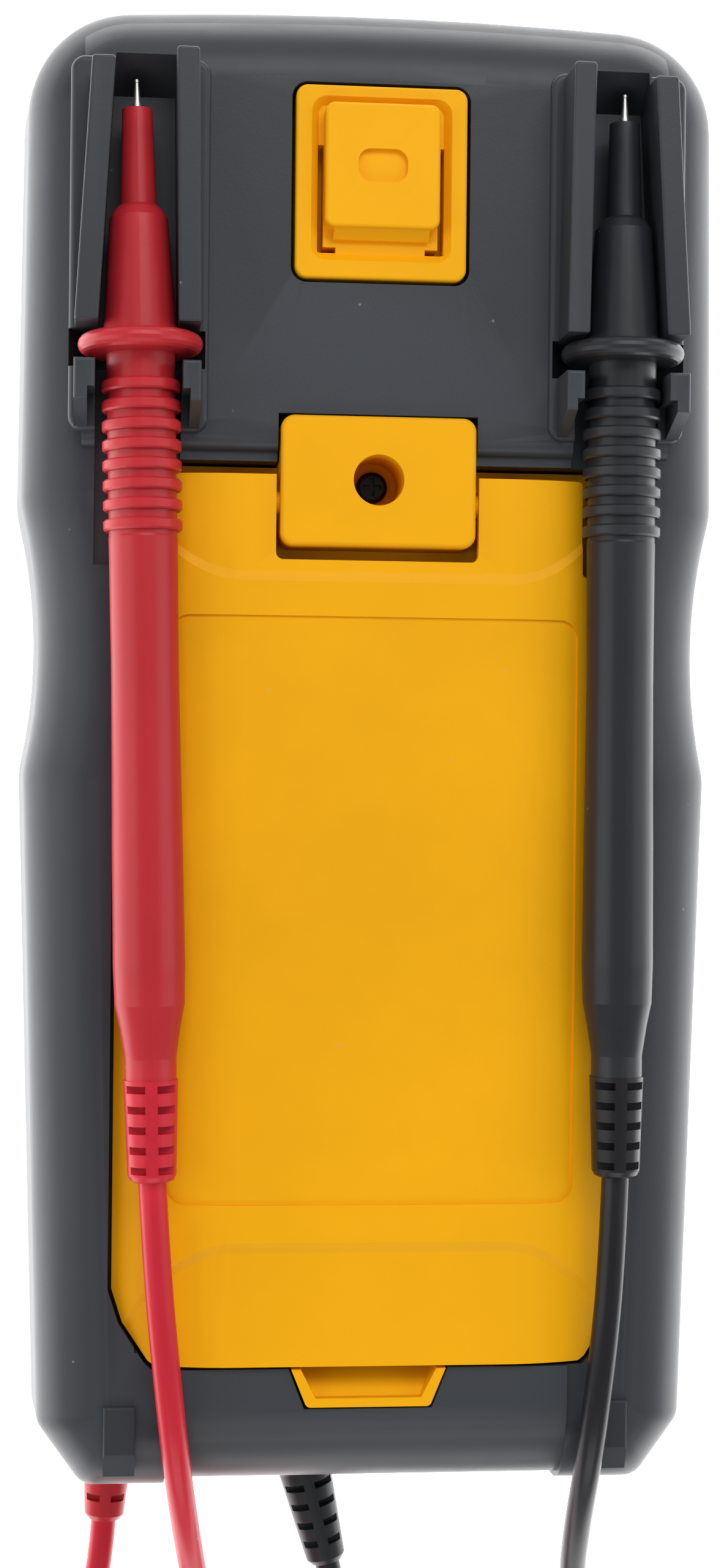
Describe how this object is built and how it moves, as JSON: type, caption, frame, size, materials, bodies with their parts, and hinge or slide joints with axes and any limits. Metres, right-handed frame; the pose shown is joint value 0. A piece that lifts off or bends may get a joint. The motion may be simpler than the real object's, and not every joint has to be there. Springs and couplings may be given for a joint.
{
  "type": "digital multimeter",
  "caption": "Handheld digital multimeter lying on its face, with a yellow tilt stand, battery cover and hanger insert, and test leads clipped in its back.",
  "frame": {"origin": "centre of the meter's footprint at the level its front rim rests on", "axes": "+Z out of the meter's back, +Y towards its display end, +X to the right as the back is seen"},
  "size_m": [0.108, 0.2925, 0.0561],
  "materials": {
    "case_plastic": "moulded",
    "yellow_plastic": "moulded satin",
    "red_plastic": "moulded satin",
    "black_plastic": "moulded satin",
    "red_cable": "smooth",
    "black_cable": "smooth",
    "plated_tip": "polished",
    "black_screw": "blackened",
    "brass": "machined",
    "steel": "zinc plated",
    "seal_rubber": "matt",
    "pad_rubber": "matt",
    "faceplate": "printed",
    "window": "clear",
    "lcd": "satin",
    "lcd_frame": "moulded",
    "button_rubber": "matt",
    "knob": "moulded",
    "board": "solder mask",
    "chip": "moulded",
    "fuse": "ceramic",
    "cell": "printed sleeve"
  },
  "bodies": {
    "meter": {"rear_case": "case_plastic", "front_case": "case_plastic", "case_seal": "seal_rubber", "case_screws": "black_screw", "battery_cover": "yellow_plastic", "battery_cover_screw": "black_screw", "cover_screw_insert": "brass", "hanger_insert": "yellow_plastic", "foot_pads": "pad_rubber", "faceplate": "faceplate", "display_window": "window", "lcd_panel": "lcd", "lcd_frame": "lcd_frame", "zebra_strips": "seal_rubber", "keypad_membrane": "button_rubber", "main_board": "board", "board_screws": "steel", "fuse_10a": "fuse", "fuse_ma": "fuse", "fuse_clips": "brass", "current_shunt": "brass", "buzzer": "chip", "batteries": "cell", "battery_springs": "steel", "battery_plates": "steel", "meter_chip": "chip", "jack_10a": "brass", "jack_ma": "brass", "jack_com": "brass", "jack_volt": "brass", "red_plug_body": "red_plastic", "red_plug_pin": "plated_tip", "red_lead_plug_run": "red_cable", "red_lead_coil": "red_cable", "red_lead_probe_run": "red_cable", "black_plug_body": "black_plastic", "black_plug_pin": "plated_tip", "black_lead_plug_run": "black_cable", "black_lead_coil": "black_cable", "black_lead_probe_run": "black_cable"},
    "stand": {"tilt_stand": "yellow_plastic"},
    "knob": {"rotary_knob": "knob", "selector_rotor": "lcd_frame", "rotor_contacts": "brass", "detent_balls": "steel", "detent_springs": "steel"},
    "red_probe": {"red_probe_body": "red_plastic", "red_probe_tip": "plated_tip", "red_probe_strain_relief": "red_cable"},
    "black_probe": {"black_probe_body": "black_plastic", "black_probe_tip": "plated_tip", "black_probe_strain_relief": "black_cable"},
    "select": {"select_button": "button_rubber"},
    "range": {"range_button": "button_rubber"},
    "hold": {"hold_button": "button_rubber"},
    "backlight": {"backlight_button": "button_rubber"},
    "max_min": {"max_min_button": "button_rubber"},
    "relative": {"relative_button": "button_rubber"}
  },
  "joints": [
    {"name": "stand_hinge", "type": "hinge", "parent": "meter", "child": "stand", "pos_m": [0, 0.0327, 0.0434], "axis": [-1, 0, 0], "range_deg": [0, 55]},
    {"name": "knob_turn", "type": "hinge", "parent": "meter", "child": "knob", "pos_m": [0, -0.018, 0.005], "axis": [0, 0, -1], "range_deg": [0, 240]},
    {"name": "red_probe_lift", "type": "slide", "parent": "meter", "child": "red_probe", "axis": [0, 0, 1], "range_m": [0, 0.121], "deforming": ["red_lead_probe_run"]},
    {"name": "black_probe_lift", "type": "slide", "parent": "meter", "child": "black_probe", "axis": [0, 0, 1], "range_m": [0, 0.121], "deforming": ["black_lead_probe_run"]},
    {"name": "select_press", "type": "slide", "parent": "meter", "child": "select", "axis": [0, 0, 1], "range_m": [0, 0.0008], "stiffness_N_per_m": 600},
    {"name": "range_press", "type": "slide", "parent": "meter", "child": "range", "axis": [0, 0, 1], "range_m": [0, 0.0008], "stiffness_N_per_m": 600},
    {"name": "hold_press", "type": "slide", "parent": "meter", "child": "hold", "axis": [0, 0, 1], "range_m": [0, 0.0008], "stiffness_N_per_m": 600},
    {"name": "backlight_press", "type": "slide", "parent": "meter", "child": "backlight", "axis": [0, 0, 1], "range_m": [0, 0.0008], "stiffness_N_per_m": 600},
    {"name": "max_min_press", "type": "slide", "parent": "meter", "child": "max_min", "axis": [0, 0, 1], "range_m": [0, 0.0008], "stiffness_N_per_m": 600},
    {"name": "relative_press", "type": "slide", "parent": "meter", "child": "relative", "axis": [0, 0, 1], "range_m": [0, 0.0008], "stiffness_N_per_m": 600}
  ],
  "couplings": [
    {"joint": "red_probe_lift", "follows": "stand_hinge", "m_per_rad": 0.125},
    {"joint": "black_probe_lift", "follows": "stand_hinge", "m_per_rad": 0.125}
  ]
}
